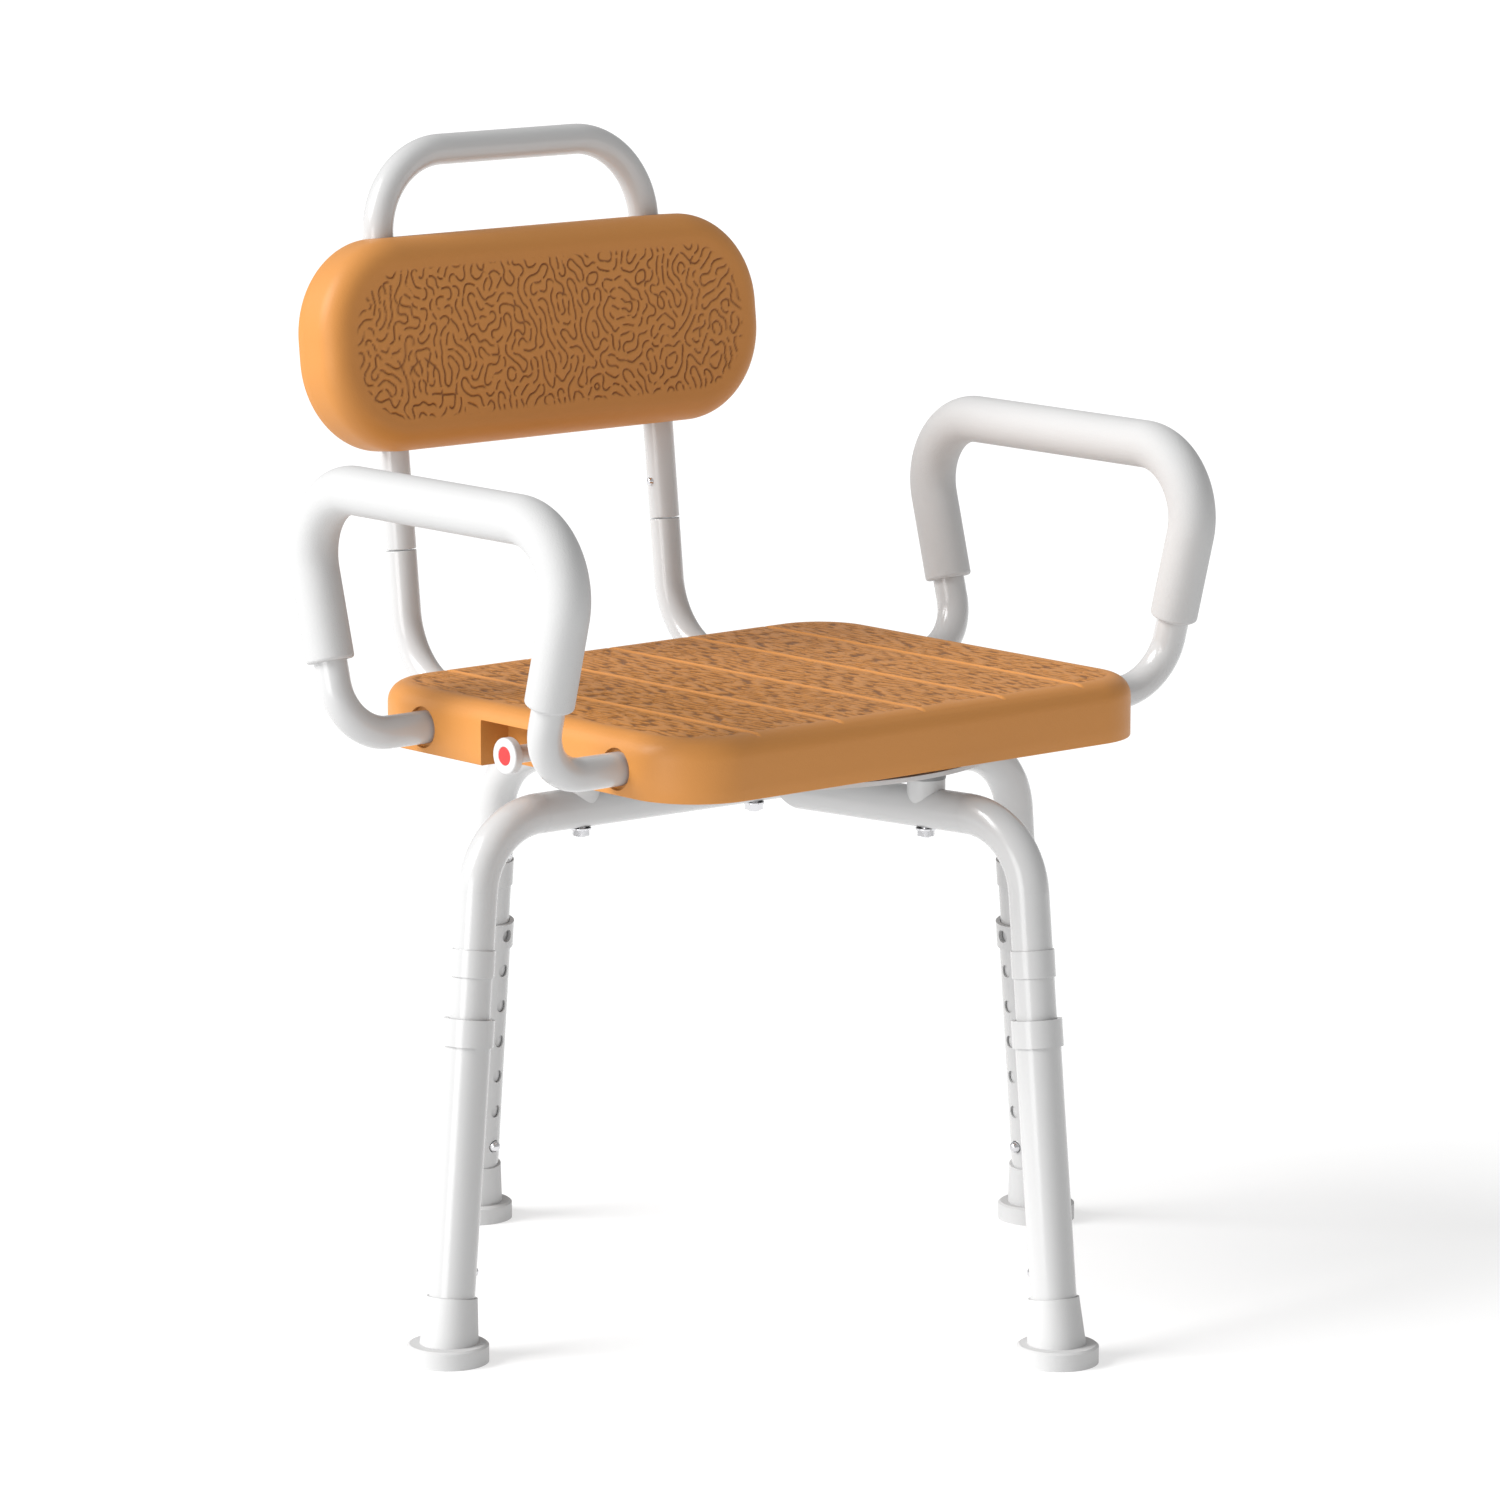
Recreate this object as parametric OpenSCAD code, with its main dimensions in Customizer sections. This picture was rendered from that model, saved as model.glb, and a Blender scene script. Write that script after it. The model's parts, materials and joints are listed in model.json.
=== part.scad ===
// Swivel shower chair on a four-legged tube base, facing -Y, swivel axis on Z, floor at Z = 0.

/* [Seat] */
// seat width, side to side
seat_w = 395; // [340:1:450]
// seat depth, front to back
seat_d = 323; // [280:1:380]
// height of the seat top above the floor, legs fully down
seat_z = 399.5; // [380:0.5:430]
// depth of the seat skirt
seat_h = 38.8; // [36:0.1:45]
// corner radius of the seat in plan
seat_corner = 47; // [30:1:60]
// rounding of the seat's top edge
seat_edge = 13; // [6:1:16]
// how far the seat centre sits forward of the swivel axis
seat_fore = 6; // [0:1:15]
// wall of the seat skirt
skirt_t = 4; // [3:0.5:5]
// spacing of the drainage grooves
groove_pitch = 67; // [60:1:75]
// width of a drainage groove
groove_w = 3; // [2:0.5:4]

/* [Swivel] */
// angle of the base under the seat
base_turn = -40.8; // [-90:0.1:90]
// radius of the fixed turntable plate
plate_r = 157; // [150:1:160]
// outer radius of the index ring
index_r = 132; // [125:1:135]
// number of locking positions
index_count = 8; // [4, 8]
// radius of the ball circle
ball_circle_r = 60; // [50:1:70]
// number of bearing balls
ball_count = 16; // [12:1:20]
// height of the lock plunger
plunger_z = 371.5; // [368:0.5:374]
// radius of the lock knob
knob_r = 11.5; // [9:0.5:14]

/* [Base] */
// height of the base tube centre line
base_z = 331; // [320:1:335]
// outer diameter of the base and inner leg tubes
base_tube_d = 25.4; // [22:0.1:28]
// plan angle between a base tube and the X axis of the base
cross_angle = 38.9; // [30:0.1:45]
// centre to corner, where a base tube turns into a leg
corner_r = 215.3; // [190:0.1:240]
// bend radius of the base tube
base_bend = 50; // [45:1:60]
// outward slope of a leg in the plane of its tube
leg_rake = 7.9; // [4:0.1:12]
// twist of that plane about the base tube
leg_tilt = 4.05; // [0:0.05:6]
// distance of the plate bolts from the swivel axis
bolt_circle_r = 138.5; // [130:0.5:142]

/* [Legs] */
// outer diameter of the lower leg tube
leg_tube_d = 28.6; // [26:0.1:32]
// wall of the tubes
tube_wall = 1.2; // [1:0.1:1.6]
// pitch of the height holes
hole_pitch = 25; // [20:0.5:30]
// number of height holes
hole_count = 7; // [5:1:8]
// radius of the foot
foot_r = 25.5; // [22:0.5:30]

/* [Arms] */
// outer diameter of the arm tube
arm_tube_d = 21; // [19:0.5:25]
// distance of the arm loops from the middle
arm_x = 259; // [240:1:280]
// half the spacing of the arm tube ends
arm_y = 95.5; // [80:0.5:110]
// height of the arm top centre line
arm_z = 534; // [500:1:560]
// outward slope of the arm uprights
arm_slope = 15; // [0:1:20]
// outer diameter of the foam grip
grip_d = 30.6; // [28:0.2:36]

/* [Backrest] */
// outer diameter of the backrest tube
back_tube_d = 20; // [18:0.5:23]
// half the spacing of the backrest posts
back_x = 111; // [100:1:120]
// backwards lean of the backrest
back_lean = 6.1; // [0:0.1:12]
// length of the backrest hoop above its joint
back_len = 255.4; // [220:0.1:300]
// width of the back pad
pad_w = 362; // [320:1:400]
// height of the back pad
pad_h = 137; // [110:1:160]
// depth of the front half of the back pad
pad_d = 36; // [30:1:42]

/* [Hidden] */
$fn = 64;
body_white = [0.93, 0.93, 0.93];
seat_tan = [0.80, 0.55, 0.27];
steel = [0.72, 0.73, 0.75];
rubber_grey = [0.86, 0.86, 0.85];
gap = 0.3;
fit = 0.05;
bead_h = 0.05;
bead_t = 0.02;
bead_gap = 0.01;
tie_t = 0.06;
through = 400;
side_cut = 20;
bolt_clear = 0.15;
button_clear = 0.4;
ring_t = 1;
collar_t = 1.65;
screw_r = 2.2;
screw_hole_r = 2.3;
screw_reach = 13;
small_screw_r = 1.9;
arm_screw_x = 150;
back_screw_y = 130;

base_r = base_tube_d / 2;
leg_r = leg_tube_d / 2;
leg_len = base_z / (cos(leg_rake) * cos(leg_tilt));
bend_turn = 90 - leg_rake;
bend_run = base_bend * tan(bend_turn / 2);
foot_radial = corner_r + leg_len * sin(leg_rake);
foot_side = leg_len * cos(leg_rake) * sin(leg_tilt);

// stations along a leg, measured up its axis from the floor
joint_s = 238.4;
joint_ring_h = 17.5;
spigot_s = 277;
inner_end_s = 30;
release_s = joint_s + joint_ring_h + 5;
lower_end_s = 14;
lower_top_s = 211.5;
collar_s = 195.7;
collar_h = 17.1;
button_s = 55;
button_r = 3.8;
hole_r = button_r + button_clear;
button_tip = leg_r + 4.1;
release_r = 2.8;
release_tip = base_r + 2.6;
spigot_r = base_r - tube_wall - 0.2;

seat_bottom = seat_z - seat_h;
skin_t = 4.5;
side_x = seat_w / 2;
cavity_top = seat_z - skin_t;
socket_z = 377;
arm_r = arm_tube_d / 2;
arm_end_x = 130;
arm_bend = 35;
arm_top_bend = 44;
arm_rise = (arm_z - socket_z) / cos(arm_slope);
arm_turn = 90 + arm_slope;
arm_cut = arm_top_bend * tan(arm_turn / 2);
arm_top_y = arm_y + (arm_z - socket_z) * tan(arm_slope) - arm_cut;
grip_start = 48.7;
back_r = back_tube_d / 2;
back_joint_y = 227.4;
back_joint_z = 466;
post_bend = 55;
post_turn = 90 - back_lean;
post_end_y = 108;
hoop_bend = 55;
neck_h = 45;
back_button_h = 25;
pad_mid = 133;
pad_corner = 62;
pad_edge = 16;
pad_t = 3.5;
cover_w = 292;
cover_h = 112;
cover_d = 13;
pad_screw_x = 70;
pad_screw_z = 32;
pad_screw_seat = 6.8;
pad_head_r = 4;
pad_head_h = 2.2;
pad_screw_bite = 18;
pad_screw_hole = 22;
pad_boss_r = 5.5;
pad_block_w = 28;
pad_block_d = 13.5;
pad_rib_t = 4;
cover_corner = 40;
cover_edge = 6;

press_end = 46;
press_mid = 40;
press_flat = 27;
press_gap = -0.15;

plate_z = 354;
plate_t = 3;
plate_top = plate_z + plate_t;
race_h = 3.2;
race_in = 53;
race_out = 67;
ball_r = 3;
ball_z = plate_top + 4.25;
swivel_z = plate_top + 8.5;
swivel_t = 3;
swivel_r = 95;
swivel_screw_r = 80;
pin_r = 6;
index_t = 3;
index_top = 378;
plunger_r = 4;
plunger_tip_x = -133;
stem_r = 5.6;
knob_x = -203;
knob_t = 6;
recess_x = 22;
recess_half = 30;
recess_top = 389.6;
recess_wall = 3;
housing_r = 9.5;
housing_in = 7.2;
housing_end = -141;
spring_from = -169.3;
spring_pitch = 2.1;
spring_turns = 4;
spring_r = 6.4;
spring_wire = 0.55;
spacer_r = 12;
spacer_top = 349.6;
bolt_r = 3;
nut_h = 5;
nut_r = 5.8;
pin_head_r = 11;
flange_x = -159.8;
flange_t = 2.5;
cap_r = 5.8;
cap_h = 1.1;

socket_wall = 3;
socket_rib_t = 3;
back_socket_d = 51;
arm_rib_x = 161;
arm_rib_w = 66;
rib_t = 2.5;
rib_x = 45;
rib_y = 48;
rib_z = 380.5;
groove_d = 1.6;

// ---- helpers ----
module ring2d(r, ri) { difference() { circle(r); circle(ri); } }

module tube(h, r, ri) { linear_extrude(h) ring2d(r, ri); }

// thin ring that ties a bend to the straight run beyond it, centred on the joint
module bead(r, ri) { translate([0, 0, -bead_h]) tube(2 * bead_h, r + bead_t, ri - bead_t); }

// straight run from one bend to the next, kept just clear of both
module run(from, to, r, ri) { translate([0, 0, from + bead_gap]) tube(to - from - 2 * bead_gap, r, ri); }

// quarter-turn style bend in the XZ plane: starts at the origin heading +X and turns towards -Z
module bend_down(rad, turn, r, ri) {
  translate([0, 0, -rad]) rotate([90, 0, 0]) rotate([0, 0, 90 - turn])
    rotate_extrude(angle = turn) translate([rad, 0]) ring2d(r, ri);
}

// the same bend and tying ring as solid bars
module bend_rod(rad, turn, r) {
  translate([0, 0, -rad]) rotate([90, 0, 0]) rotate([0, 0, 90 - turn])
    rotate_extrude(angle = turn) translate([rad, 0]) circle(r);
}

module rod_bead(r) { translate([0, 0, -bead_h]) cylinder(r = r + tie_t, h = 2 * bead_h); }

module slab_profile(run, h, e) {
  square([run, h - e]);
  square([run - e, h]);
  translate([run - e, h - e]) circle(e);
}

module slab(w, d, rad, h, e) {
  ix = w / 2 - rad;
  iy = d / 2 - rad;
  translate([-ix, -iy, 0]) cube([2 * ix, 2 * iy, h]);
  for (i = [0:3])
    translate([(i == 0 || i == 3 ? 1 : -1) * ix, (i < 2 ? 1 : -1) * iy, 0])
      rotate([0, 0, 90 * i]) rotate_extrude(angle = 90) slab_profile(rad, h, e);
  for (m = [0, 1]) mirror([m, 0, 0])
    translate([ix, iy, 0]) rotate([90, 0, 0]) linear_extrude(2 * iy) slab_profile(rad, h, e);
  for (m = [0, 1]) mirror([0, m, 0])
    translate([-ix, iy, 0]) rotate([90, 0, 90]) linear_extrude(2 * ix) slab_profile(rad, h, e);
}

module in_base() { rotate([0, 0, base_turn]) children(); }

// legs are named by base corner: [mirror in X, mirror in Y]
module at_corner(mx, my) { in_base() mirror([mx, 0, 0]) mirror([0, my, 0]) children(); }
module front_left() { at_corner(1, 1) children(); }
module front_right() { at_corner(0, 1) children(); }
module rear_left() { at_corner(1, 0) children(); }
module rear_right() { at_corner(0, 0) children(); }

module tube_plane() {
  translate([0, 0, base_z]) rotate([0, 0, cross_angle]) rotate([leg_tilt, 0, 0]) children();
}

module leg_axis() {
  tube_plane() translate([corner_r, 0, 0]) rotate([0, -leg_rake, 0])
    translate([0, 0, -leg_len]) children();
}

module along_tube(r) { rotate([0, 0, cross_angle]) translate([r, 0, 0]) children(); }

module nut(r, h) { cylinder(r = r, h = h, $fn = 6); }

// ---- base frame ----
// solid core of half a base tube, drawn once for the outside and once for the bore
module half_base_rod(r, past) {
  tube_plane() translate([corner_r - bend_run, 0, 0]) {
    rotate([0, 90, 0]) rod_bead(r);
    bend_rod(base_bend, bend_turn, r);
  }
  leg_axis() {
    translate([0, 0, joint_s - past]) cylinder(r = r, h = leg_len - bend_run - bead_gap - joint_s + past);
    translate([0, 0, leg_len - bend_run]) rod_bead(r);
  }
}

// flattened crossing: outline of the pressed-in side, in the plane of the tube
module press_outline() {
  polygon([[-press_end, base_r + 2], [-press_mid, base_r + 1.2], [-press_flat, press_gap],
    [press_flat, press_gap], [press_mid, base_r + 1.2], [press_end, base_r + 2]]);
}

module pressed_rod(up, r, drop, past) {
  difference() {
    union() {
      half_base_rod(r, past);
      rotate([0, 0, 180]) half_base_rod(r, past);
      translate([0, 0, base_z]) rotate([0, 0, cross_angle]) rotate([0, 90, 0])
        translate([0, 0, bend_run - corner_r + bead_gap])
          cylinder(r = r, h = 2 * (corner_r - bend_run - bead_gap));
    }
    translate([0, 0, base_z]) rotate([0, 0, cross_angle]) mirror([0, 0, up]) translate([0, 0, -drop])
      rotate([90, 0, 0]) translate([0, 0, -base_r - 1]) linear_extrude(2 * base_r + 2) press_outline();
  }
}

module pressed_tube(up) {
  difference() {
    pressed_rod(up, base_r, 0, 0);
    pressed_rod(up, base_r - tube_wall, tube_wall, 1);
  }
}

module base_tube(up) {
  color(body_white) difference() {
    pressed_tube(up);
    for (a = [0, 180]) rotate([0, 0, a]) {
      along_tube(bolt_circle_r) cylinder(r = bolt_r + bolt_clear, h = through);
      leg_axis() translate([0, 0, release_s]) rotate([0, -90, 0])
        cylinder(r = release_r + button_clear, h = side_cut);
    }
    cylinder(r = bolt_r + bolt_clear, h = through);
  }
}

module base_tube_lower() { rear_right() base_tube(0); }
module base_tube_upper() { front_right() base_tube(1); }

module joint_rings() {
  color(body_white) {
    front_left() joint_ring();
    front_right() joint_ring();
    rear_left() joint_ring();
    rear_right() joint_ring();
  }
}
module joint_ring() {
  leg_axis() translate([0, 0, joint_s + 0.2]) tube(joint_ring_h - 0.2, base_r + ring_t, base_r + fit);
}

module inner_leg() {
  color(body_white) difference() {
    leg_axis() {
      translate([0, 0, inner_end_s])
        tube(joint_s - inner_end_s, base_r, base_r - tube_wall);
      translate([0, 0, joint_s - 1]) tube(spigot_s - joint_s + 1, spigot_r, spigot_r - tube_wall);
      translate([0, 0, joint_s - 3]) tube(3, base_r - 0.1, spigot_r - tube_wall);
    }
    leg_axis() translate([0, 0, button_s]) rotate([0, -90, 0]) cylinder(r = hole_r, h = side_cut);
    leg_axis() translate([0, 0, release_s]) rotate([0, -90, 0])
      cylinder(r = release_r + button_clear, h = side_cut);
  }
}
module inner_leg_fl() { front_left() inner_leg(); }
module inner_leg_fr() { front_right() inner_leg(); }
module inner_leg_rl() { rear_left() inner_leg(); }
module inner_leg_rr() { rear_right() inner_leg(); }

module spacer() {
  difference() {
    along_tube(bolt_circle_r) translate([0, 0, base_z + 4])
      cylinder(r = spacer_r, h = spacer_top - base_z - 4);
    translate([0, 0, base_z]) rotate([0, 0, cross_angle]) rotate([0, 90, 0])
      cylinder(r = base_r + fit, h = 300);
    along_tube(bolt_circle_r) cylinder(r = bolt_r + bolt_clear, h = through);
  }
}
module saddle_spacers() {
  color(body_white) {
    front_left() spacer();
    front_right() spacer();
    rear_left() spacer();
    rear_right() spacer();
  }
}

module each_bolt() {
  front_left() along_tube(bolt_circle_r) children();
  front_right() along_tube(bolt_circle_r) children();
  rear_left() along_tube(bolt_circle_r) children();
  rear_right() along_tube(bolt_circle_r) children();
}

module spacer_caps() {
  color([0.6, 0.6, 0.6]) each_bolt() translate([0, 0, spacer_top])
    tube(plate_z - spacer_top, spacer_r + 0.4, bolt_r + bolt_clear);
}

module plate_bolts() {
  color(steel) each_bolt() {
    translate([0, 0, base_z - base_r - nut_h - 1])
      cylinder(r = bolt_r, h = plate_top - base_z + base_r + nut_h + 2);
    translate([0, 0, plate_top]) cylinder(r1 = 6.5, r2 = 4, h = 2.6);
  }
}

module crossing_bolt() {
  color(steel) {
    translate([0, 0, base_z - base_r - nut_h - 1]) cylinder(r = bolt_r, h = 2 * base_r + nut_h + 2);
    translate([0, 0, base_z + base_r]) in_base() nut(nut_r, 3.4);
  }
}

module bolt_nut() {
  difference() {
    union() {
      translate([0, 0, -nut_h]) nut(nut_r, nut_h - 1.2);
      translate([0, 0, -1.2]) cylinder(r = 6.6, h = 1.1);
    }
    translate([0, 0, -nut_h - 1]) cylinder(r = bolt_r, h = nut_h + 2);
  }
}
module lock_nuts() {
  color(steel) translate([0, 0, base_z - base_r]) {
    each_bolt() bolt_nut();
    in_base() bolt_nut();
  }
}

// ---- lower legs ----
module lower_leg() {
  color(body_white) difference() {
    leg_axis() translate([0, 0, lower_end_s])
      tube(lower_top_s - lower_end_s, leg_r, leg_r - tube_wall);
    leg_axis() for (i = [0:hole_count - 1]) translate([0, 0, button_s + i * hole_pitch])
      rotate([0, -90, 0]) cylinder(r = hole_r, h = side_cut);
  }
}
module lock_collar() {
  color(body_white) difference() {
    leg_axis() {
      translate([0, 0, collar_s]) tube(collar_h, leg_r + collar_t, leg_r + fit);
      translate([0, 0, lower_top_s + fit])
        tube(collar_s + collar_h - lower_top_s - fit, leg_r + ring_t, base_r + gap + fit);
    }
    leg_axis() translate([0, 0, button_s + (hole_count - 1) * hole_pitch])
      rotate([0, -90, 0]) cylinder(r = hole_r, h = side_cut);
  }
}
module foot() {
  color(rubber_grey) difference() {
    union() {
      leg_axis() translate([0, 0, 9]) cylinder(r1 = 18.5, r2 = 15.9, h = 31);
      rotate([0, 0, cross_angle]) translate([foot_radial, foot_side, 0]) {
        cylinder(r = foot_r, h = 10.5);
        translate([0, 0, 10.5]) cylinder(r1 = foot_r, r2 = foot_r - 1.5, h = 1.2);
      }
    }
    leg_axis() translate([0, 0, lower_end_s]) cylinder(r = leg_r + fit, h = 40);
    rotate([0, 0, cross_angle]) translate([foot_radial, foot_side, -1])
      for (r = [10, 16, 21]) tube(2.2, r + 1, r - 1);
  }
}
module lower_leg_fl() { front_left() lower_leg(); }
module lower_leg_fr() { front_right() lower_leg(); }
module lower_leg_rl() { rear_left() lower_leg(); }
module lower_leg_rr() { rear_right() lower_leg(); }
module lock_collar_fl() { front_left() lock_collar(); }
module lock_collar_fr() { front_right() lock_collar(); }
module lock_collar_rl() { rear_left() lock_collar(); }
module lock_collar_rr() { rear_right() lock_collar(); }
module foot_fl() { front_left() foot(); }
module foot_fr() { front_right() foot(); }
module foot_rl() { rear_left() foot(); }
module foot_rr() { rear_right() foot(); }

// ---- snap buttons: a domed pin with a retaining flange inside the tube ----
module snap_button(r, tip, seat) {
  color(steel) {
    translate([0, 0, seat - 1.6]) cylinder(r = r + 1.2, h = 1.6);
    translate([0, 0, seat - 1.6]) cylinder(r = r, h = tip - r - seat + 1.6);
    translate([0, 0, tip - r]) sphere(r);
  }
}
module height_button() {
  leg_axis() translate([0, 0, button_s]) rotate([0, -90, 0]) snap_button(button_r, button_tip, 9.9);
}
module release_button() {
  leg_axis() translate([0, 0, release_s]) rotate([0, -90, 0])
    snap_button(release_r, release_tip, 8.4);
}
module height_button_fl() { front_left() height_button(); }
module height_button_fr() { front_right() height_button(); }
module height_button_rl() { rear_left() height_button(); }
module height_button_rr() { rear_right() height_button(); }
module release_button_fl() { front_left() release_button(); }
module release_button_fr() { front_right() release_button(); }
module release_button_rl() { rear_left() release_button(); }
module release_button_rr() { rear_right() release_button(); }

// ---- turntable ----
module turntable_plate() {
  color(steel) difference() {
    union() {
      translate([0, 0, plate_z]) cylinder(r = plate_r, h = plate_t, $fn = 128);
      translate([0, 0, plate_z]) tube(index_top - plate_z, index_r, index_r - index_t, $fn = 128);
    }
    each_bolt() cylinder(r = bolt_r + bolt_clear, h = through);
    cylinder(r = pin_r + fit, h = through);
    for (i = [0:index_count - 1]) rotate([0, 0, i * 360 / index_count])
      translate([-index_r - 2, 0, plunger_z]) rotate([0, 90, 0])
        cylinder(r = plunger_r + 0.35, h = index_t + 5);
  }
}

module race(z) {
  color(steel) difference() {
    translate([0, 0, z]) tube(race_h, race_out, race_in, $fn = 128);
    translate([0, 0, ball_z]) rotate_extrude() translate([ball_circle_r, 0]) circle(ball_r + fit);
  }
}
module lower_race() { race(plate_top); }
module upper_race() { race(swivel_z - race_h); }

module ball_cage() {
  color([0.2, 0.2, 0.22]) difference() {
    translate([0, 0, ball_z - 0.65]) tube(1.3, race_out - 1, race_in + 1, $fn = 128);
    for (i = [0:ball_count - 1]) rotate([0, 0, i * 360 / ball_count])
      translate([ball_circle_r, 0, ball_z - 2]) cylinder(r = ball_r + fit, h = 4);
  }
}
module balls() {
  color(steel) for (i = [0:ball_count - 1]) rotate([0, 0, i * 360 / ball_count])
    translate([ball_circle_r, 0, ball_z]) sphere(ball_r);
}

module king_pin() {
  color(steel) {
    translate([0, 0, plate_z - 3]) cylinder(r = pin_head_r, h = 3);
    translate([0, 0, plate_z - 1]) cylinder(r = pin_r, h = swivel_z + swivel_t + gap - plate_z + 1);
    translate([0, 0, swivel_z + swivel_t + gap]) cylinder(r1 = pin_head_r, r2 = pin_head_r - 2, h = 2.6);
  }
}

module at_swivel_screws() {
  for (i = [0:5]) rotate([0, 0, 30 + 60 * i]) translate([swivel_screw_r, 0, 0]) children();
}
module swivel_plate() {
  color(steel) difference() {
    translate([0, 0, swivel_z]) cylinder(r = swivel_r, h = swivel_t, $fn = 128);
    translate([0, 0, swivel_z - 1]) cylinder(r = pin_r + fit, h = 10);
    at_swivel_screws() translate([0, 0, swivel_z - 1]) cylinder(r = screw_hole_r, h = 10);
  }
}
module swivel_screws() {
  color(steel) at_swivel_screws() {
    translate([0, 0, swivel_z - 2.4]) cylinder(r1 = 3, r2 = 4.4, h = 2.4);
    translate([0, 0, swivel_z - 1]) cylinder(r = small_screw_r, h = 18);
  }
}

// ---- seat ----
module seat_frame() { translate([0, -seat_fore, 0]) children(); }

module at_arm_sockets() {
  seat_frame() for (x = [-1, 1], y = [-1, 1]) translate([x * side_x, y * arm_y, socket_z])
    rotate([0, -90 * x, 0]) children();
}
module at_back_sockets() {
  seat_frame() for (x = [-1, 1]) translate([x * back_x, seat_d / 2, socket_z])
    rotate([90, 0, 0]) children();
}
module at_tube_screws() {
  seat_frame() {
    for (x = [-1, 1], y = [-1, 1]) translate([x * arm_screw_x, y * arm_y, 0]) children();
    for (x = [-1, 1]) translate([x * back_x, back_screw_y, 0]) children();
  }
}

module seat_block() {
  difference() {
    seat_frame() translate([0, 0, seat_bottom]) slab(seat_w, seat_d, seat_corner, seat_h, seat_edge);
    seat_frame() translate([0, 0, seat_bottom - 1])
      slab(seat_w - 2 * skirt_t, seat_d - 2 * skirt_t, seat_corner - skirt_t, seat_h + 1 - skin_t,
        seat_edge - skirt_t);
  }
}

module seat_shell() {
  color(seat_tan) difference() {
    union() {
      seat_block();
      at_arm_sockets() translate([0, 0, 3]) cylinder(r = arm_r + socket_wall, h = side_x - arm_end_x);
      at_back_sockets() translate([0, 0, 3]) cylinder(r = back_r + socket_wall, h = back_socket_d);
      seat_frame() for (x = [-1, 1], y = [-1, 1])
        translate([x * arm_rib_x - arm_rib_w / 2, y * arm_y - socket_rib_t / 2, socket_z + 5])
          cube([arm_rib_w, socket_rib_t, cavity_top - socket_z - 4.5]);
      seat_frame() for (x = [-1, 1])
        translate([x * back_x - socket_rib_t / 2, post_end_y, socket_z + 5])
          cube([socket_rib_t, back_socket_d - 1, cavity_top - socket_z - 4.5]);
      seat_frame() for (s = [-1, 1]) {
        translate([s * rib_x - rib_t / 2, -seat_d / 2 + 2, rib_z])
          cube([rib_t, seat_d - 4, cavity_top - rib_z + 0.5]);
        translate([-side_x + 2, s * rib_y - rib_t / 2, rib_z])
          cube([seat_w - 4, rib_t, cavity_top - rib_z + 0.5]);
      }
      at_swivel_screws() translate([0, 0, swivel_z + swivel_t])
        cylinder(r = 6, h = cavity_top - swivel_z - swivel_t + 0.5);
      translate([-side_x + 2, -recess_half - recess_wall, seat_bottom])
        cube([recess_x + recess_wall - 2, 2 * (recess_half + recess_wall), cavity_top - seat_bottom + 0.5]);
    }
    at_arm_sockets() translate([0, 0, -5]) cylinder(r = arm_r + 0.1, h = 5 + side_x - arm_end_x + 10);
    at_back_sockets() translate([0, 0, -5]) cylinder(r = back_r + 0.1, h = 70);
    at_swivel_screws() translate([0, 0, swivel_z]) cylinder(r = small_screw_r, h = 21);
    at_tube_screws() translate([0, 0, seat_bottom - 5]) cylinder(r = screw_hole_r, h = 18);
    translate([-side_x - 5, -recess_half, seat_bottom - 5])
      cube([recess_x + 5, 2 * recess_half, recess_top - seat_bottom + 5]);
    translate([-side_x, 0, plunger_z]) rotate([0, 90, 0]) cylinder(r = stem_r + gap, h = 40);
    seat_frame() for (i = [-2:2])
      translate([i * groove_pitch - groove_w / 2, -seat_d / 2 - 1, seat_z - groove_d])
        cube([groove_w, seat_d + 2, 2 * groove_d]);
  }
}

module tube_screws() {
  color(steel) at_tube_screws() {
    translate([0, 0, seat_bottom]) cylinder(r1 = 3.2, r2 = 4.6, h = 2.3);
    translate([0, 0, seat_bottom + 1]) cylinder(r = screw_r, h = screw_reach - 1);
  }
}

// ---- arms ----
module arm_end(r, ri, from, start) {
  translate([arm_x, arm_y, socket_z]) rotate([-arm_slope, 0, 0]) {
    if (from < arm_x) {
      rotate([0, 90, 0]) run(from - arm_x, -arm_bend, r, ri);
      translate([-arm_bend, 0, 0]) rotate([0, 90, 0]) bead(r, ri);
      mirror([0, 0, 1]) translate([-arm_bend, 0, 0]) bend_down(arm_bend, 90, r, ri);
      translate([0, 0, start]) bead(r, ri);
    }
    run(start, arm_rise - arm_cut, r, ri);
    translate([0, 0, arm_rise - arm_cut]) bead(r, ri);
  }
}
module arm_loop(r, ri, from, start) {
  for (m = [0, 1]) mirror([0, m, 0]) {
    arm_end(r, ri, from, start);
    translate([arm_x, arm_top_y, arm_z]) {
      rotate([0, 0, 90]) bend_down(arm_top_bend, arm_turn, r, ri);
      rotate([-90, 0, 0]) bead(r, ri);
    }
  }
  translate([arm_x, 0, arm_z]) rotate([-90, 0, 0]) run(-arm_top_y, arm_top_y, r, ri);
}
module arm_tube() {
  color(body_white) difference() {
    seat_frame() arm_loop(arm_r, arm_r - tube_wall, arm_end_x, arm_bend);
    at_tube_screws() translate([0, 0, seat_bottom]) cylinder(r = screw_hole_r, h = screw_reach);
  }
}
module arm_grip() {
  color(body_white) seat_frame() arm_loop(grip_d / 2, arm_r + fit, arm_x, grip_start);
}
module arm_tube_left() { arm_tube(); }
module arm_tube_right() { mirror([1, 0, 0]) arm_tube(); }
module arm_grip_left() { arm_grip(); }
module arm_grip_right() { mirror([1, 0, 0]) arm_grip(); }

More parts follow.
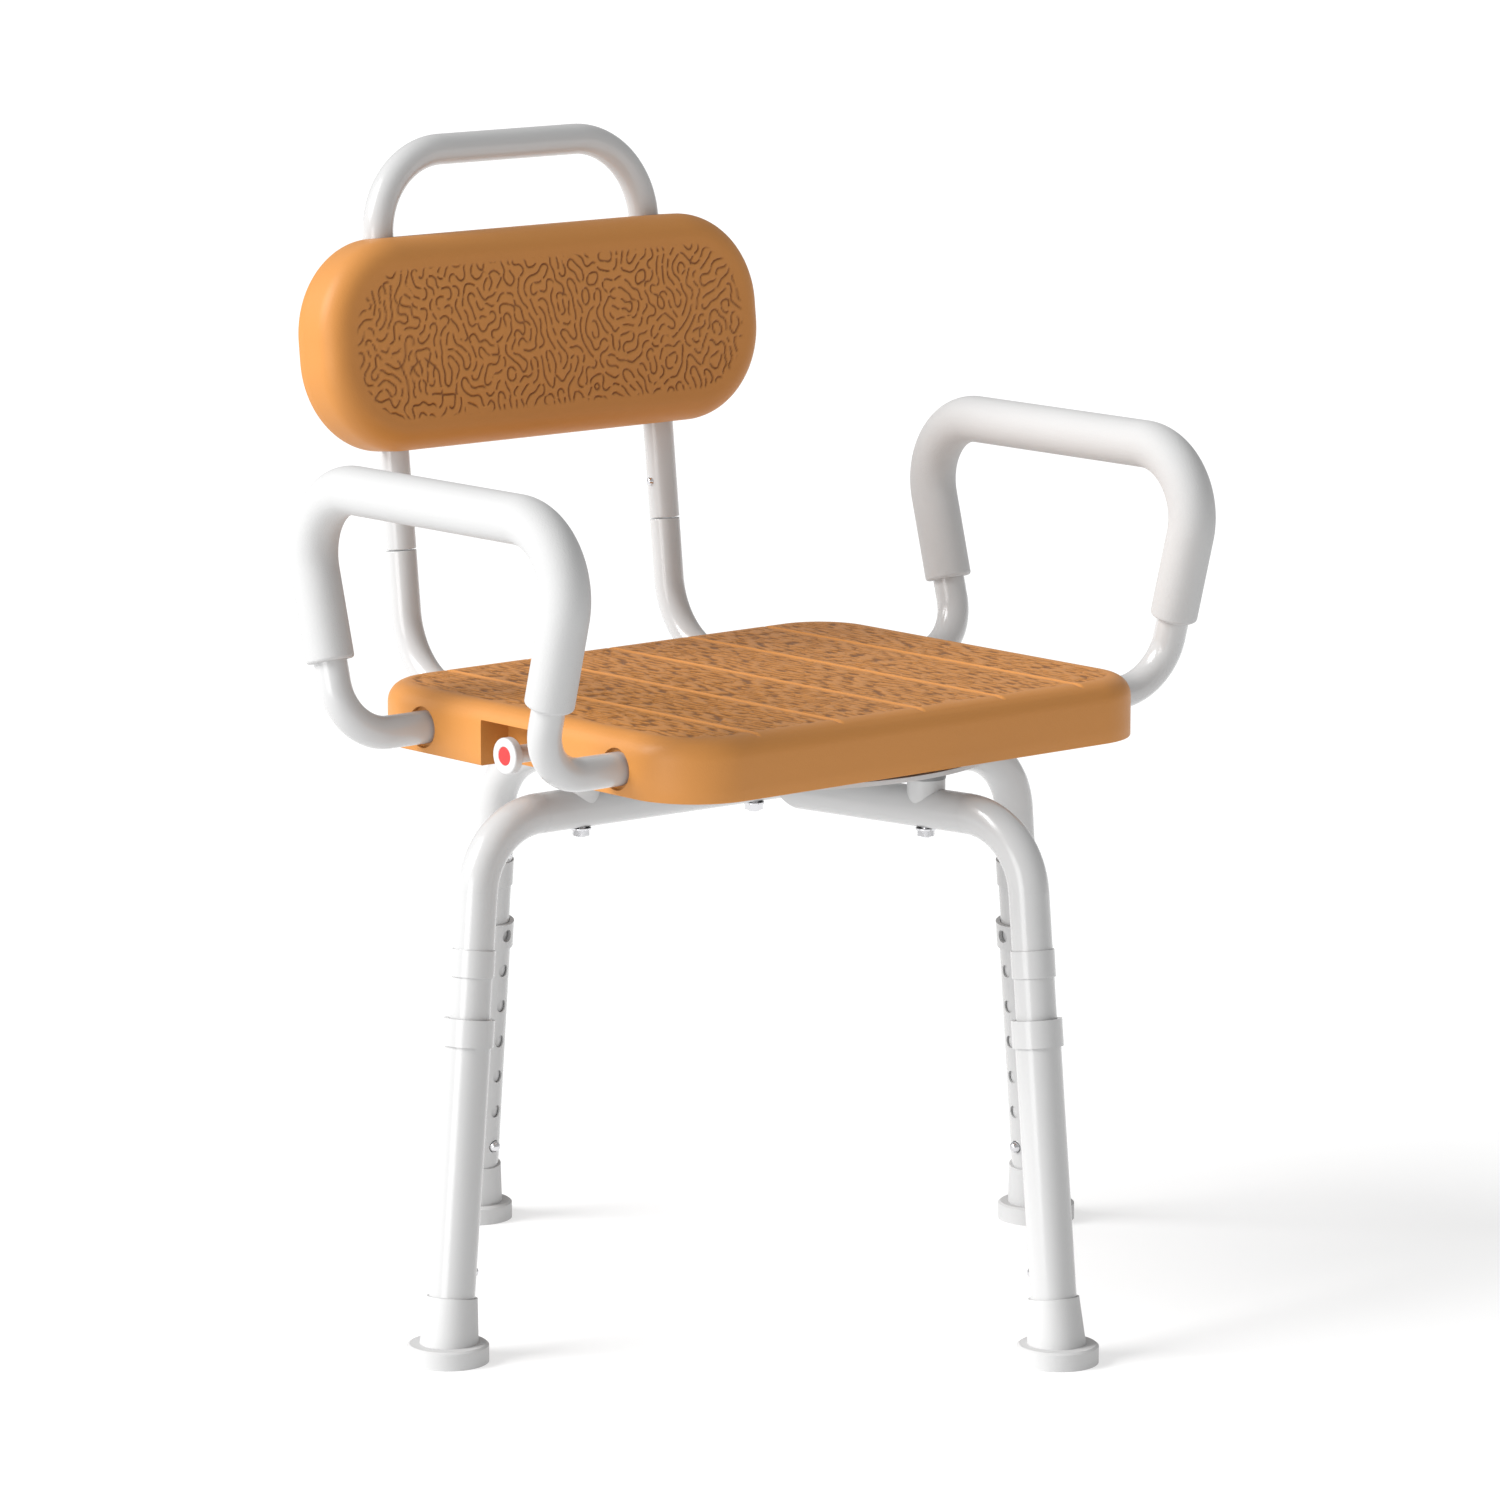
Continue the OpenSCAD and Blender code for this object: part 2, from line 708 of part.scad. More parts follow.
// ---- backrest ----
module back_frame() {
  seat_frame() translate([0, back_joint_y, back_joint_z]) rotate([-back_lean, 0, 0]) children();
}
post_rise = post_bend * tan(post_turn / 2);
post_len = (back_joint_z - socket_z) / cos(back_lean);
post_y = back_joint_y - (back_joint_z - socket_z) * tan(back_lean);

module back_post() {
  neck_r = back_r - tube_wall - 0.1;
  color(body_white) difference() {
    union() {
      seat_frame() translate([back_x, 0, socket_z]) rotate([-90, 0, 0])
        run(post_end_y, post_y - post_rise, back_r, back_r - tube_wall);
      seat_frame() translate([back_x, post_y - post_rise, socket_z]) {
        rotate([-90, 0, 0]) bead(back_r, back_r - tube_wall);
        rotate([0, 0, 90]) mirror([0, 0, 1]) bend_down(post_bend, post_turn, back_r, back_r - tube_wall);
      }
      back_frame() translate([back_x, 0, 0]) {
        run(-post_len + post_rise, 0, back_r, back_r - tube_wall);
        translate([0, 0, -post_len + post_rise]) bead(back_r, back_r - tube_wall);
        translate([0, 0, -3]) tube(2.9, back_r - 0.1, neck_r - tube_wall);
        translate([0, 0, -1]) tube(neck_h + 1, neck_r, neck_r - tube_wall);
      }
    }
    back_frame() translate([back_x, 0, back_button_h]) rotate([0, -90, 0])
      cylinder(r = release_r + button_clear, h = side_cut);
    at_tube_screws() translate([0, 0, seat_bottom]) cylinder(r = screw_hole_r, h = screw_reach);
  }
}
module back_post_left() { back_post(); }
module back_post_right() { mirror([1, 0, 0]) back_post(); }

module back_button() {
  back_frame() translate([back_x, 0, back_button_h]) rotate([0, -90, 0])
    snap_button(release_r, back_r + 2.4, 5.6);
}
module back_button_left() { back_button(); }
module back_button_right() { mirror([1, 0, 0]) back_button(); }

module back_hoop() {
  color(body_white) difference() {
    back_frame() {
      for (m = [0, 1]) mirror([m, 0, 0]) {
        translate([back_x, 0, 0.2]) tube(back_len - hoop_bend - 0.2, back_r, back_r - tube_wall);
        translate([back_x - hoop_bend, 0, back_len]) bend_down(hoop_bend, 90, back_r, back_r - tube_wall);
      }
      translate([-back_x + hoop_bend, 0, back_len]) rotate([0, 90, 0])
        tube(2 * (back_x - hoop_bend), back_r, back_r - tube_wall);
    }
    back_frame() for (m = [0, 1]) mirror([m, 0, 0])
      translate([back_x, 0, back_button_h]) rotate([0, -90, 0])
        cylinder(r = release_r + button_clear, h = side_cut);
  }
}

module at_pad_screws() {
  for (x = [-1, 1], z = [-1, 1]) translate([x * pad_screw_x, 0, z * pad_screw_z]) children();
}
module pad_channels() {
  for (x = [-1, 1]) translate([x * back_x, 0, -pad_h]) cylinder(r = back_r + 0.1, h = 2 * pad_h);
}
module in_pad() { back_frame() translate([0, 0, pad_mid]) children(); }

module back_pad() {
  color(seat_tan) in_pad() difference() {
    union() {
      difference() {
        rotate([90, 0, 0]) slab(pad_w, pad_h, pad_corner, pad_d, pad_edge);
        translate([0, 1, 0]) rotate([90, 0, 0])
          slab(pad_w - 2 * pad_t, pad_h - 2 * pad_t, pad_corner - pad_t, pad_d - pad_t + 1,
            pad_edge - pad_t);
      }
      for (x = [-1, 1]) translate([x * back_x - pad_block_w / 2, -pad_block_d, -pad_h / 2 + 2])
        cube([pad_block_w, pad_block_d, pad_h - 4]);
      for (x = [-1, 1]) translate([x * back_x - pad_rib_t / 2, -pad_d + 2, -pad_h / 2 + 10])
        cube([pad_rib_t, pad_d - 10, pad_h - 20]);
      at_pad_screws() rotate([90, 0, 0]) cylinder(r = pad_boss_r, h = pad_d - 2);
    }
    pad_channels();
    at_pad_screws() translate([0, 1, 0]) rotate([90, 0, 0]) cylinder(r = small_screw_r, h = pad_screw_hole);
  }
}
module back_cover() {
  color(seat_tan) in_pad() difference() {
    translate([0, 0.1, 0]) mirror([0, 1, 0]) rotate([90, 0, 0])
      slab(cover_w, cover_h, cover_corner, cover_d, cover_edge);
    pad_channels();
    at_pad_screws() translate([0, -1, 0]) rotate([-90, 0, 0]) {
      cylinder(r = small_screw_r + gap, h = 2 * cover_d);
      translate([0, 0, pad_screw_seat + 1]) cylinder(r = pad_head_r + 1, h = 2 * cover_d);
    }
  }
}
module pad_screws() {
  color(steel) in_pad() at_pad_screws() rotate([90, 0, 0]) {
    translate([0, 0, -pad_screw_seat - pad_head_h - 0.1]) cylinder(r = pad_head_r, h = pad_head_h);
    translate([0, 0, -pad_screw_seat - 0.2])
      cylinder(r = small_screw_r, h = pad_screw_seat + pad_screw_bite);
  }
}

// ---- lock plunger ----
module on_plunger() { translate([0, 0, plunger_z]) rotate([0, 90, 0]) children(); }

module plunger_housing() {
  color(steel) on_plunger() {
    wall_x = -side_x + recess_x + recess_wall;
    translate([0, 0, wall_x]) tube(2, housing_r + 3, stem_r + gap);
    translate([0, 0, wall_x]) tube(housing_end - wall_x, housing_r, housing_in);
    translate([0, 0, housing_end - 2]) tube(2, housing_r, plunger_r + gap);
  }
}
module plunger_spring() {
  tilt = atan(spring_pitch / (4 * spring_r));
  color(steel) on_plunger() for (i = [0:2 * spring_turns - 1])
    translate([0, 0, spring_from + i * spring_pitch / 2]) rotate([0, 0, 180 * i]) {
      translate([0, 0, spring_pitch / 4]) rotate([0, tilt, 0])
        rotate_extrude(angle = 180) translate([spring_r / cos(tilt), 0]) circle(spring_wire);
      translate([spring_r, 0, 0]) sphere(spring_wire + bead_t);
    }
}
module plunger_pin() {
  color(body_white) on_plunger() {
    translate([0, 0, knob_x + knob_t]) cylinder(r = stem_r, h = -side_x + recess_x - 2 - knob_x - knob_t);
    translate([0, 0, -side_x + recess_x - 3])
      cylinder(r = plunger_r, h = plunger_tip_x + side_x - recess_x + 3 - 1.5);
    translate([0, 0, plunger_tip_x - 1.5]) cylinder(r1 = plunger_r, r2 = plunger_r - 1.2, h = 1.5);
    translate([0, 0, flange_x]) cylinder(r = housing_in - gap, h = flange_t);
  }
}
module plunger_knob() {
  color(body_white) on_plunger() translate([0, 0, knob_x]) difference() {
    union() {
      cylinder(r1 = knob_r - 0.8, r2 = knob_r, h = 0.8);
      translate([0, 0, 0.8]) cylinder(r = knob_r, h = knob_t - 0.8);
    }
    translate([0, 0, -1]) cylinder(r = cap_r + fit, h = cap_h + 1.1);
  }
}
module knob_cap() {
  color([0.85, 0.2, 0.2]) on_plunger() translate([0, 0, knob_x + 0.1]) cylinder(r = cap_r, h = cap_h);
}

base_tube_lower();
base_tube_upper();
joint_rings();
inner_leg_fl();
inner_leg_fr();
inner_leg_rl();
inner_leg_rr();
saddle_spacers();
spacer_caps();
plate_bolts();
crossing_bolt();
lock_nuts();
lower_leg_fl();
lower_leg_fr();
lower_leg_rl();
lower_leg_rr();
lock_collar_fl();
lock_collar_fr();
lock_collar_rl();
lock_collar_rr();
foot_fl();
foot_fr();
foot_rl();
foot_rr();
height_button_fl();
height_button_fr();
height_button_rl();
height_button_rr();
release_button_fl();
release_button_fr();
release_button_rl();
release_button_rr();
turntable_plate();
lower_race();
upper_race();
ball_cage();
balls();
king_pin();
swivel_plate();
swivel_screws();
seat_shell();
tube_screws();
arm_tube_left();
arm_tube_right();
arm_grip_left();
arm_grip_right();
back_post_left();
back_post_right();
back_button_left();
back_button_right();
back_hoop();
back_pad();
back_cover();
pad_screws();
plunger_housing();
plunger_spring();
plunger_pin();
plunger_knob();
knob_cap();
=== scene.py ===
import json
import math

import bmesh
import bpy
import numpy as np
from mathutils import Matrix, Vector


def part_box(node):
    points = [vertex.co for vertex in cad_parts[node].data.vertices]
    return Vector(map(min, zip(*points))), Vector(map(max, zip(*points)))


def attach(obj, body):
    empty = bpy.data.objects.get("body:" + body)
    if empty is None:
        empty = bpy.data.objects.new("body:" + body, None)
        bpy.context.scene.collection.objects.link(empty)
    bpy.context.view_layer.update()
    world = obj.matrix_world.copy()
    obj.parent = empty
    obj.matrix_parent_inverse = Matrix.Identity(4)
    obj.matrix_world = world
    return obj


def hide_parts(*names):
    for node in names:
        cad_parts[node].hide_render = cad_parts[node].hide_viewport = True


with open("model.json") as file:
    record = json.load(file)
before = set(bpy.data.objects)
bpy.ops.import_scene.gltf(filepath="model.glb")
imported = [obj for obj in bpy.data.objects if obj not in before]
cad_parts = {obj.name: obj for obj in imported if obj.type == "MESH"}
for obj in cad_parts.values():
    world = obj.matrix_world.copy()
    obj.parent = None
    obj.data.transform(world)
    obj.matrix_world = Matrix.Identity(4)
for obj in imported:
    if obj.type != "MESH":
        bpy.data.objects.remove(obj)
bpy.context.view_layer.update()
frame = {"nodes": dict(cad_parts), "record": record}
nodes = frame["nodes"]
slotOf = {row["node"]: row["material_slot"] for row in frame["record"]["subparts"]}
corners = ("fl", "fr", "rl", "rr")
print("frame loaded:", len(nodes), "nodes")


def newGroup(name, inputs, outputs):
    tree = bpy.data.node_groups.new(name, "ShaderNodeTree")
    for label, kind, value in inputs:
        socket = tree.interface.new_socket(label, in_out="INPUT", socket_type=kind)
        socket.default_value = value
    for label, kind in outputs:
        tree.interface.new_socket(label, in_out="OUTPUT", socket_type=kind)
    return tree, tree.nodes.new("NodeGroupInput"), tree.nodes.new("NodeGroupOutput")


def mathNode(tree, kind, a, b=None, clamp=False):
    node = tree.nodes.new("ShaderNodeMath")
    node.operation, node.use_clamp = kind, clamp
    for slotNumber, value in enumerate((a, b)):
        if value is None:
            continue
        if isinstance(value, (int, float)):
            node.inputs[slotNumber].default_value = value
        else:
            tree.links.new(value, node.inputs[slotNumber])
    return node.outputs[0]


def noiseNode(tree, vector, scale, detail=3.0, rough=0.55):
    node = tree.nodes.new("ShaderNodeTexNoise")
    node.inputs["Detail"].default_value = detail
    node.inputs["Roughness"].default_value = rough
    if isinstance(scale, (int, float)):
        node.inputs["Scale"].default_value = scale
    else:
        tree.links.new(scale, node.inputs["Scale"])
    tree.links.new(vector, node.inputs["Vector"])
    return node.outputs["Fac"]


def fineSkinGroup():
    # fine height of a moulded, sprayed or foamed skin: soft swell with small cells in it
    tree, gin, gout = newGroup("fineSkin", [
        ("Swell Scale", "NodeSocketFloat", 300.0), ("Cell Scale", "NodeSocketFloat", 900.0),
        ("Cell Share", "NodeSocketFloat", 0.5)], [("Height", "NodeSocketFloat")])
    coord = tree.nodes.new("ShaderNodeTexCoord").outputs["Object"]
    swell = noiseNode(tree, coord, gin.outputs["Swell Scale"], 2.0)
    cell = tree.nodes.new("ShaderNodeTexVoronoi")
    cell.feature = "SMOOTH_F1"
    tree.links.new(coord, cell.inputs["Vector"])
    tree.links.new(gin.outputs["Cell Scale"], cell.inputs["Scale"])
    small = mathNode(tree, "MULTIPLY", cell.outputs["Distance"], gin.outputs["Cell Share"])
    tree.links.new(mathNode(tree, "ADD", swell, small), gout.inputs["Height"])
    return tree


def handledGroup():
    # slow change of tone and gloss from handling, cleaning and a little dust on upward faces
    tree, gin, gout = newGroup("handledTone", [
        ("Color", "NodeSocketColor", (0.8, 0.8, 0.8, 1)), ("Tone", "NodeSocketFloat", 0.04),
        ("Roughness", "NodeSocketFloat", 0.4), ("Spread", "NodeSocketFloat", 0.08),
        ("Patch Scale", "NodeSocketFloat", 14.0), ("Dust", "NodeSocketFloat", 0.03)],
        [("Color", "NodeSocketColor"), ("Roughness", "NodeSocketFloat")])
    coord = tree.nodes.new("ShaderNodeTexCoord").outputs["Object"]
    patch = noiseNode(tree, coord, gin.outputs["Patch Scale"], 4.0)
    swing = mathNode(tree, "SUBTRACT", patch, 0.5)
    tone = mathNode(tree, "ADD", mathNode(tree, "MULTIPLY", swing, gin.outputs["Tone"]), 1.0)
    scaled = tree.nodes.new("ShaderNodeVectorMath")
    scaled.operation = "SCALE"
    tree.links.new(gin.outputs["Color"], scaled.inputs[0])
    tree.links.new(tone, scaled.inputs["Scale"])
    normal = tree.nodes.new("ShaderNodeNewGeometry").outputs["Normal"]
    split = tree.nodes.new("ShaderNodeSeparateXYZ")
    tree.links.new(normal, split.inputs[0])
    speck = noiseNode(tree, coord, 160.0, 5.0, 0.7)
    upward = mathNode(tree, "MULTIPLY", mathNode(tree, "MAXIMUM", split.outputs["Z"], 0.0), speck)
    dust = mathNode(tree, "MULTIPLY", upward, gin.outputs["Dust"], clamp=True)
    mix = tree.nodes.new("ShaderNodeMix")
    mix.data_type = "RGBA"
    tree.links.new(dust, mix.inputs["Factor"])
    tree.links.new(scaled.outputs[0], mix.inputs[6])
    mix.inputs[7].default_value = (0.72, 0.70, 0.66, 1)
    tree.links.new(mix.outputs[2], gout.inputs["Color"])
    rough = mathNode(tree, "ADD", gin.outputs["Roughness"],
        mathNode(tree, "MULTIPLY", swing, gin.outputs["Spread"]), clamp=True)
    tree.links.new(mathNode(tree, "ADD", rough, dust, clamp=True), gout.inputs["Roughness"])
    return tree


fineSkin, handledTone = fineSkinGroup(), handledGroup()


def finish(name, color, rough, tone=0.04, spread=0.08, patch=14.0, dust=0.03, swell=300.0, cell=900.0,
        share=0.5, bump=0.1, depth=0.0002, metal=0.0, coat=0.0, coatRough=0.1, sheen=0.0, paintedHollowShade=None,
        specular=0.5):
    mat = bpy.data.materials.new(name)
    mat.use_nodes = True
    tree = mat.node_tree
    shader = tree.nodes["Principled BSDF"]
    shader.inputs["Metallic"].default_value = metal
    shader.inputs["Coat Weight"].default_value = coat
    shader.inputs["Coat Roughness"].default_value = coatRough
    shader.inputs["Sheen Weight"].default_value = sheen
    shader.inputs["Specular IOR Level"].default_value = specular
    tones = tree.nodes.new("ShaderNodeGroup")
    tones.node_tree = handledTone
    for key, value in (("Color", (*color, 1)), ("Tone", tone), ("Roughness", rough),
            ("Spread", spread), ("Patch Scale", patch), ("Dust", dust)):
        tones.inputs[key].default_value = value
    tree.links.new(tones.outputs["Roughness"], shader.inputs["Roughness"])
    skin = tree.nodes.new("ShaderNodeGroup")
    skin.node_tree = fineSkin
    for key, value in (("Swell Scale", swell), ("Cell Scale", cell), ("Cell Share", share)):
        skin.inputs[key].default_value = value
    relief = tree.nodes.new("ShaderNodeBump")
    relief.inputs["Strength"].default_value = bump
    relief.inputs["Distance"].default_value = depth
    tree.links.new(skin.outputs["Height"], relief.inputs["Height"])
    tree.links.new(relief.outputs["Normal"], shader.inputs["Normal"])
    if paintedHollowShade is None:
        tree.links.new(tones.outputs["Color"], shader.inputs["Base Color"])
    else:
        # painted shade: the moulded-in hollows are darkened by their depth, read from the mesh's hollow
        # mark
        deep = tree.nodes.new("ShaderNodeAttribute")
        deep.attribute_name = "hollow"
        mix = tree.nodes.new("ShaderNodeMix")
        mix.data_type = "RGBA"
        tree.links.new(deep.outputs["Fac"], mix.inputs["Factor"])
        tree.links.new(tones.outputs["Color"], mix.inputs[6])
        mix.inputs[7].default_value = (*paintedHollowShade, 1)
        tree.links.new(mix.outputs[2], shader.inputs["Base Color"])
    return mat


finishes = {
    "white_tube": finish("glossWhiteTube", (0.51, 0.51, 0.51), 0.24, 0.02, 0.05, 9.0, 0.02,
        420.0, 1500.0, 0.2, 0.06, 0.0002, coat=0.35, coatRough=0.12),
    "white_plastic": finish("whiteSpacerPlastic", (0.55, 0.55, 0.55), 0.38, bump=0.12),
    "grey_plastic": finish("greyCapPlastic", (0.24, 0.24, 0.24), 0.5, bump=0.12),
    "foot_rubber": finish("paleFootRubber", (0.53, 0.53, 0.53), 0.55, 0.06, 0.1, 25.0, 0.05,
        500.0, 1400.0, 0.6, 0.2, 0.0003),
    "grip_foam": finish("whiteGripFoam", (0.50, 0.50, 0.50), 0.72, 0.03, 0.06, 18.0, 0.03,
        700.0, 1300.0, 0.9, 0.35, 0.0003, sheen=0.15),
    # the seat and pad finishes paint shade into their relief hollows with the darker second colour
    "seat_plastic": finish("tanSeatPlastic", (0.54, 0.228, 0.054), 0.46, 0.06, 0.08, 12.0, 0.02,
        350.0, 1100.0, 0.6, 0.25, 0.0003, paintedHollowShade=(0.13, 0.044, 0.009), specular=0.3),
    "pad_plastic": finish("tanPadPlastic", (0.54, 0.228, 0.054), 0.48, 0.06, 0.08, 12.0, 0.02,
        350.0, 1100.0, 0.6, 0.25, 0.0003, paintedHollowShade=(0.22, 0.078, 0.018), specular=0.3),
    "knob_plastic": finish("whiteKnobPlastic", (0.56, 0.56, 0.56), 0.3, bump=0.08),
    "red_plastic": finish("redKnobPlastic", (0.66, 0.028, 0.028), 0.34, 0.05, bump=0.08),
    "cage_plastic": finish("blackCageNylon", (0.03, 0.03, 0.032), 0.5, bump=0.15),
    "plate_steel": finish("greyPlatePaint", (0.62, 0.62, 0.62), 0.42, 0.05, 0.1, 10.0, 0.04,
        380.0, 1200.0, 0.4, 0.15),
    "bright_steel": finish("brightPlatedSteel", (0.72, 0.72, 0.74), 0.16, 0.05, 0.1, 60.0, 0.0,
        800.0, 2400.0, 0.3, 0.05, 0.0001, metal=1.0),
}
for name, node in nodes.items():
    node.data.materials.clear()
    node.data.materials.append(finishes[slotOf[name]])
print("finishes made:", len(finishes))


def addObject(name, mesh):
    obj = bpy.data.objects.new(name, mesh)
    bpy.context.scene.collection.objects.link(obj)
    return obj


def addMesh(name, verts, faces):
    mesh = bpy.data.meshes.new(name)
    mesh.from_pydata([tuple(v) for v in verts], [], faces)
    mesh.update()
    return addObject(name, mesh)


def settle(obj):
    # the modifiers' result becomes the object's own mesh
    graph = bpy.context.evaluated_depsgraph_get()
    made = bpy.data.meshes.new_from_object(obj.evaluated_get(graph), depsgraph=graph)
    obj.modifiers.clear()
    spent = obj.data
    obj.data = made
    bpy.data.meshes.remove(spent)
    return obj


def discard(obj):
    mesh = obj.data
    bpy.data.objects.remove(obj)
    bpy.data.meshes.remove(mesh)


def carve(target, tool, kind="DIFFERENCE"):
    for solver in ("MANIFOLD", "EXACT"):
        mod = target.modifiers.new("carve", "BOOLEAN")
        mod.object, mod.operation, mod.solver = tool, kind, solver
        graph = bpy.context.evaluated_depsgraph_get()
        graph.update()
        done = target.evaluated_get(graph).data
        if len(done.vertices) and len(done.vertices) != len(target.data.vertices):
            settle(target)
            break
        target.modifiers.clear()
        print("carve fell back from", solver, "on", target.name)
    discard(tool)
    return target


def mergedCopy(node, name):
    # a CAD node's loose triangles joined into one closed surface
    mesh = nodes[node].data.copy()
    mesh.name = name
    work = bmesh.new()
    work.from_mesh(mesh)
    bmesh.ops.remove_doubles(work, verts=work.verts, dist=0.000002)
    bmesh.ops.dissolve_degenerate(work, edges=work.edges, dist=0.000001)
    work.to_mesh(mesh)
    work.free()
    for label in [a.name for a in mesh.attributes if a.name in ("sharp_face", "custom_normal")]:
        mesh.attributes.remove(mesh.attributes[label])
    return addObject(name, mesh)


def rodAt(name, start, end, radius, sides=48):
    start, end = Vector(start), Vector(end)
    way = end - start
    work = bmesh.new()
    bmesh.ops.create_cone(work, cap_ends=True, segments=sides, radius1=radius, radius2=radius,
        depth=way.length)
    turn = Vector((0, 0, 1)).rotation_difference(way).to_matrix().to_4x4()
    bmesh.ops.transform(work, matrix=Matrix.Translation((start + end) / 2) @ turn, verts=work.verts)
    mesh = bpy.data.meshes.new(name)
    work.to_mesh(mesh)
    work.free()
    return addObject(name, mesh)


def blockAt(name, low, high):
    work = bmesh.new()
    bmesh.ops.create_cube(work, size=1)
    low, high = Vector(low), Vector(high)
    for v in work.verts:
        v.co = Vector([(low[i] + high[i]) / 2 + v.co[i] * (high[i] - low[i]) for i in range(3)])
    mesh = bpy.data.meshes.new(name)
    work.to_mesh(mesh)
    work.free()
    return addObject(name, mesh)


def smoothed(obj, angle):
    obj.data.shade_smooth()
    obj.data.set_sharp_from_angle(angle=math.radians(angle))
    return obj


def dress(obj, slotName, body, *replaced):
    obj.data.materials.clear()
    obj.data.materials.append(finishes[slotName])
    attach(obj, body)
    if replaced:
        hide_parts(*replaced)
    return obj


def wormField(shape, cell, wave, stretch, rounds, seed, spread=0.22):
    # winding ridges of one wavelength, grown from seeded noise; stretch lengthens them along Y
    rng = np.random.default_rng(seed)
    field = rng.normal(size=shape)
    ky = np.fft.fftfreq(shape[0], cell[1])[:, None] * stretch
    kx = np.fft.fftfreq(shape[1], cell[0])[None, :]
    band = np.hypot(kx, ky)
    keep = np.exp(-((band - 1 / wave) ** 2) / (2 * (spread / wave) ** 2))
    for _ in range(rounds):
        field = np.real(np.fft.ifft2(np.fft.fft2(field) * keep))
        field = np.tanh(field / field.std() * 1.6)
    field = np.real(np.fft.ifft2(np.fft.fft2(field) * keep))
    return field / field.std()


def softStep(low, high, value):
    t = np.clip((value - low) / (high - low), 0, 1)
    return t * t * (3 - 2 * t)


def sample(field, cell, x, y):
    # bilinear reading of a field whose middle is at (0, 0)
    u = np.clip(x / cell[0] + field.shape[1] / 2, 0, field.shape[1] - 1.001)
    v = np.clip(y / cell[1] + field.shape[0] / 2, 0, field.shape[0] - 1.001)
    i, j = v.astype(int), u.astype(int)
    fv, fu = v - i, u - j
    top = field[i, j] * (1 - fu) + field[i, j + 1] * fu
    low = field[i + 1, j] * (1 - fu) + field[i + 1, j + 1] * fu
    return top * (1 - fv) + low * fv


def insideDistance(x, y, hx, hy, corner):
    # how far a point is inside a rounded rectangle
    qx, qy = np.abs(x) - (hx - corner), np.abs(y) - (hy - corner)
    outside = np.hypot(np.maximum(qx, 0), np.maximum(qy, 0))
    return corner - outside - np.minimum(np.maximum(qx, qy), 0)


def slabSolid(name, form, columns, relief, place):
    # form: hx, hy, corner, edge, top, bottom, row, side (columns beyond the fixed ones), rings
    hx, hy, corner, edge = form["hx"], form["hy"], form["corner"], form["edge"]
    small = corner - edge
    flat = np.linspace(-(hy - corner), hy - corner, int(2 * (hy - corner) / form["row"]) + 1)
    steps = max(int(small * math.pi / 2 / form["row"]), 6)
    angles = np.arange(1, steps + 1) / steps * math.pi / 2
    arc = (hy - corner) + small * np.sin(angles)
    rowY = np.concatenate([-arc[::-1], flat, arc])
    rowA = np.concatenate([-angles[::-1], np.zeros(len(flat)), angles])
    width = (hx - corner) + small * np.cos(rowA)
    core, t = columns.max(), np.arange(form["side"]) / form["side"]
    grid = []
    for y, w in zip(rowY, width):
        left = -w + (w - core) * t
        grid.append(np.stack([np.concatenate([left, columns, -left[::-1]]),
            np.full(len(columns) + 2 * form["side"], y)], 1))
    grid = np.array(grid)
    rows, cols = grid.shape[:2]
    depth = relief(grid[..., 0], grid[..., 1])
    verts = [np.dstack([grid, form["top"] - depth]).reshape(-1, 3)]
    # depth of each top point, 0 to 1: the mask for the painted shade in the hollows
    hollow = [np.clip(depth / form["deepest"], 0, 1).reshape(-1)]
    index = np.arange(rows * cols).reshape(rows, cols)
    quads = np.stack([index[:-1, :-1], index[:-1, 1:], index[1:, 1:], index[1:, :-1]], -1).reshape(-1, 4)
    loop = np.concatenate([index[0], index[1:-1, -1], index[-1, ::-1], index[-2:0:-1, 0]])
    away = np.concatenate([
        np.tile([0, -1], (cols, 1)), np.stack([np.cos(rowA[1:-1]), np.sin(rowA[1:-1])], 1),
        np.tile([0, 1], (cols, 1)), np.stack([-np.cos(rowA[-2:0:-1]), np.sin(rowA[-2:0:-1])], 1)])
    start = verts[0][loop][:, :2]
    rings = [loop]
    count = rows * cols
    turns = np.arange(1, form["rings"] + 1) / form["rings"] * math.pi / 2
    levels = [(edge * math.sin(a), form["top"] - edge * (1 - math.cos(a))) for a in turns]
    foot = form["bottom"]
    levels += [(edge, levels[-1][1] + (foot - levels[-1][1]) * s) for s in (0.33, 0.66)]
    levels += [(edge, foot + 0.0008), (edge - 0.0003, foot + 0.0002), (edge - 0.0009, foot)]
    for out, z in levels:
        spot = start + away * out
        deep = np.maximum(relief(spot[:, 0], spot[:, 1]) - (form["top"] - z), 0)
        if z < form["top"] - form["deepest"] * 1.2:
            deep[:] = 0
        verts.append(np.column_stack([spot, np.full(len(spot), z) - deep]))
        hollow.append(np.zeros(len(spot)))
        rings.append(np.arange(count, count + len(loop)))
        count += len(loop)
    faces = quads.tolist()
    for a, b in zip(rings[:-1], rings[1:]):
        faces += np.stack([a, b, np.roll(b, -1), np.roll(a, -1)], 1).tolist()
    faces.append(rings[-1][::-1].tolist())
    points = np.concatenate(verts)
    turned = np.column_stack([points, np.ones(len(points))]) @ np.array(place).T
    obj = addMesh(name, turned[:, :3], faces)
    mark = obj.data.attributes.new("hollow", "FLOAT", "POINT")
    mark.data.foreach_set("value", np.concatenate(hollow).astype(np.float32))
    return obj


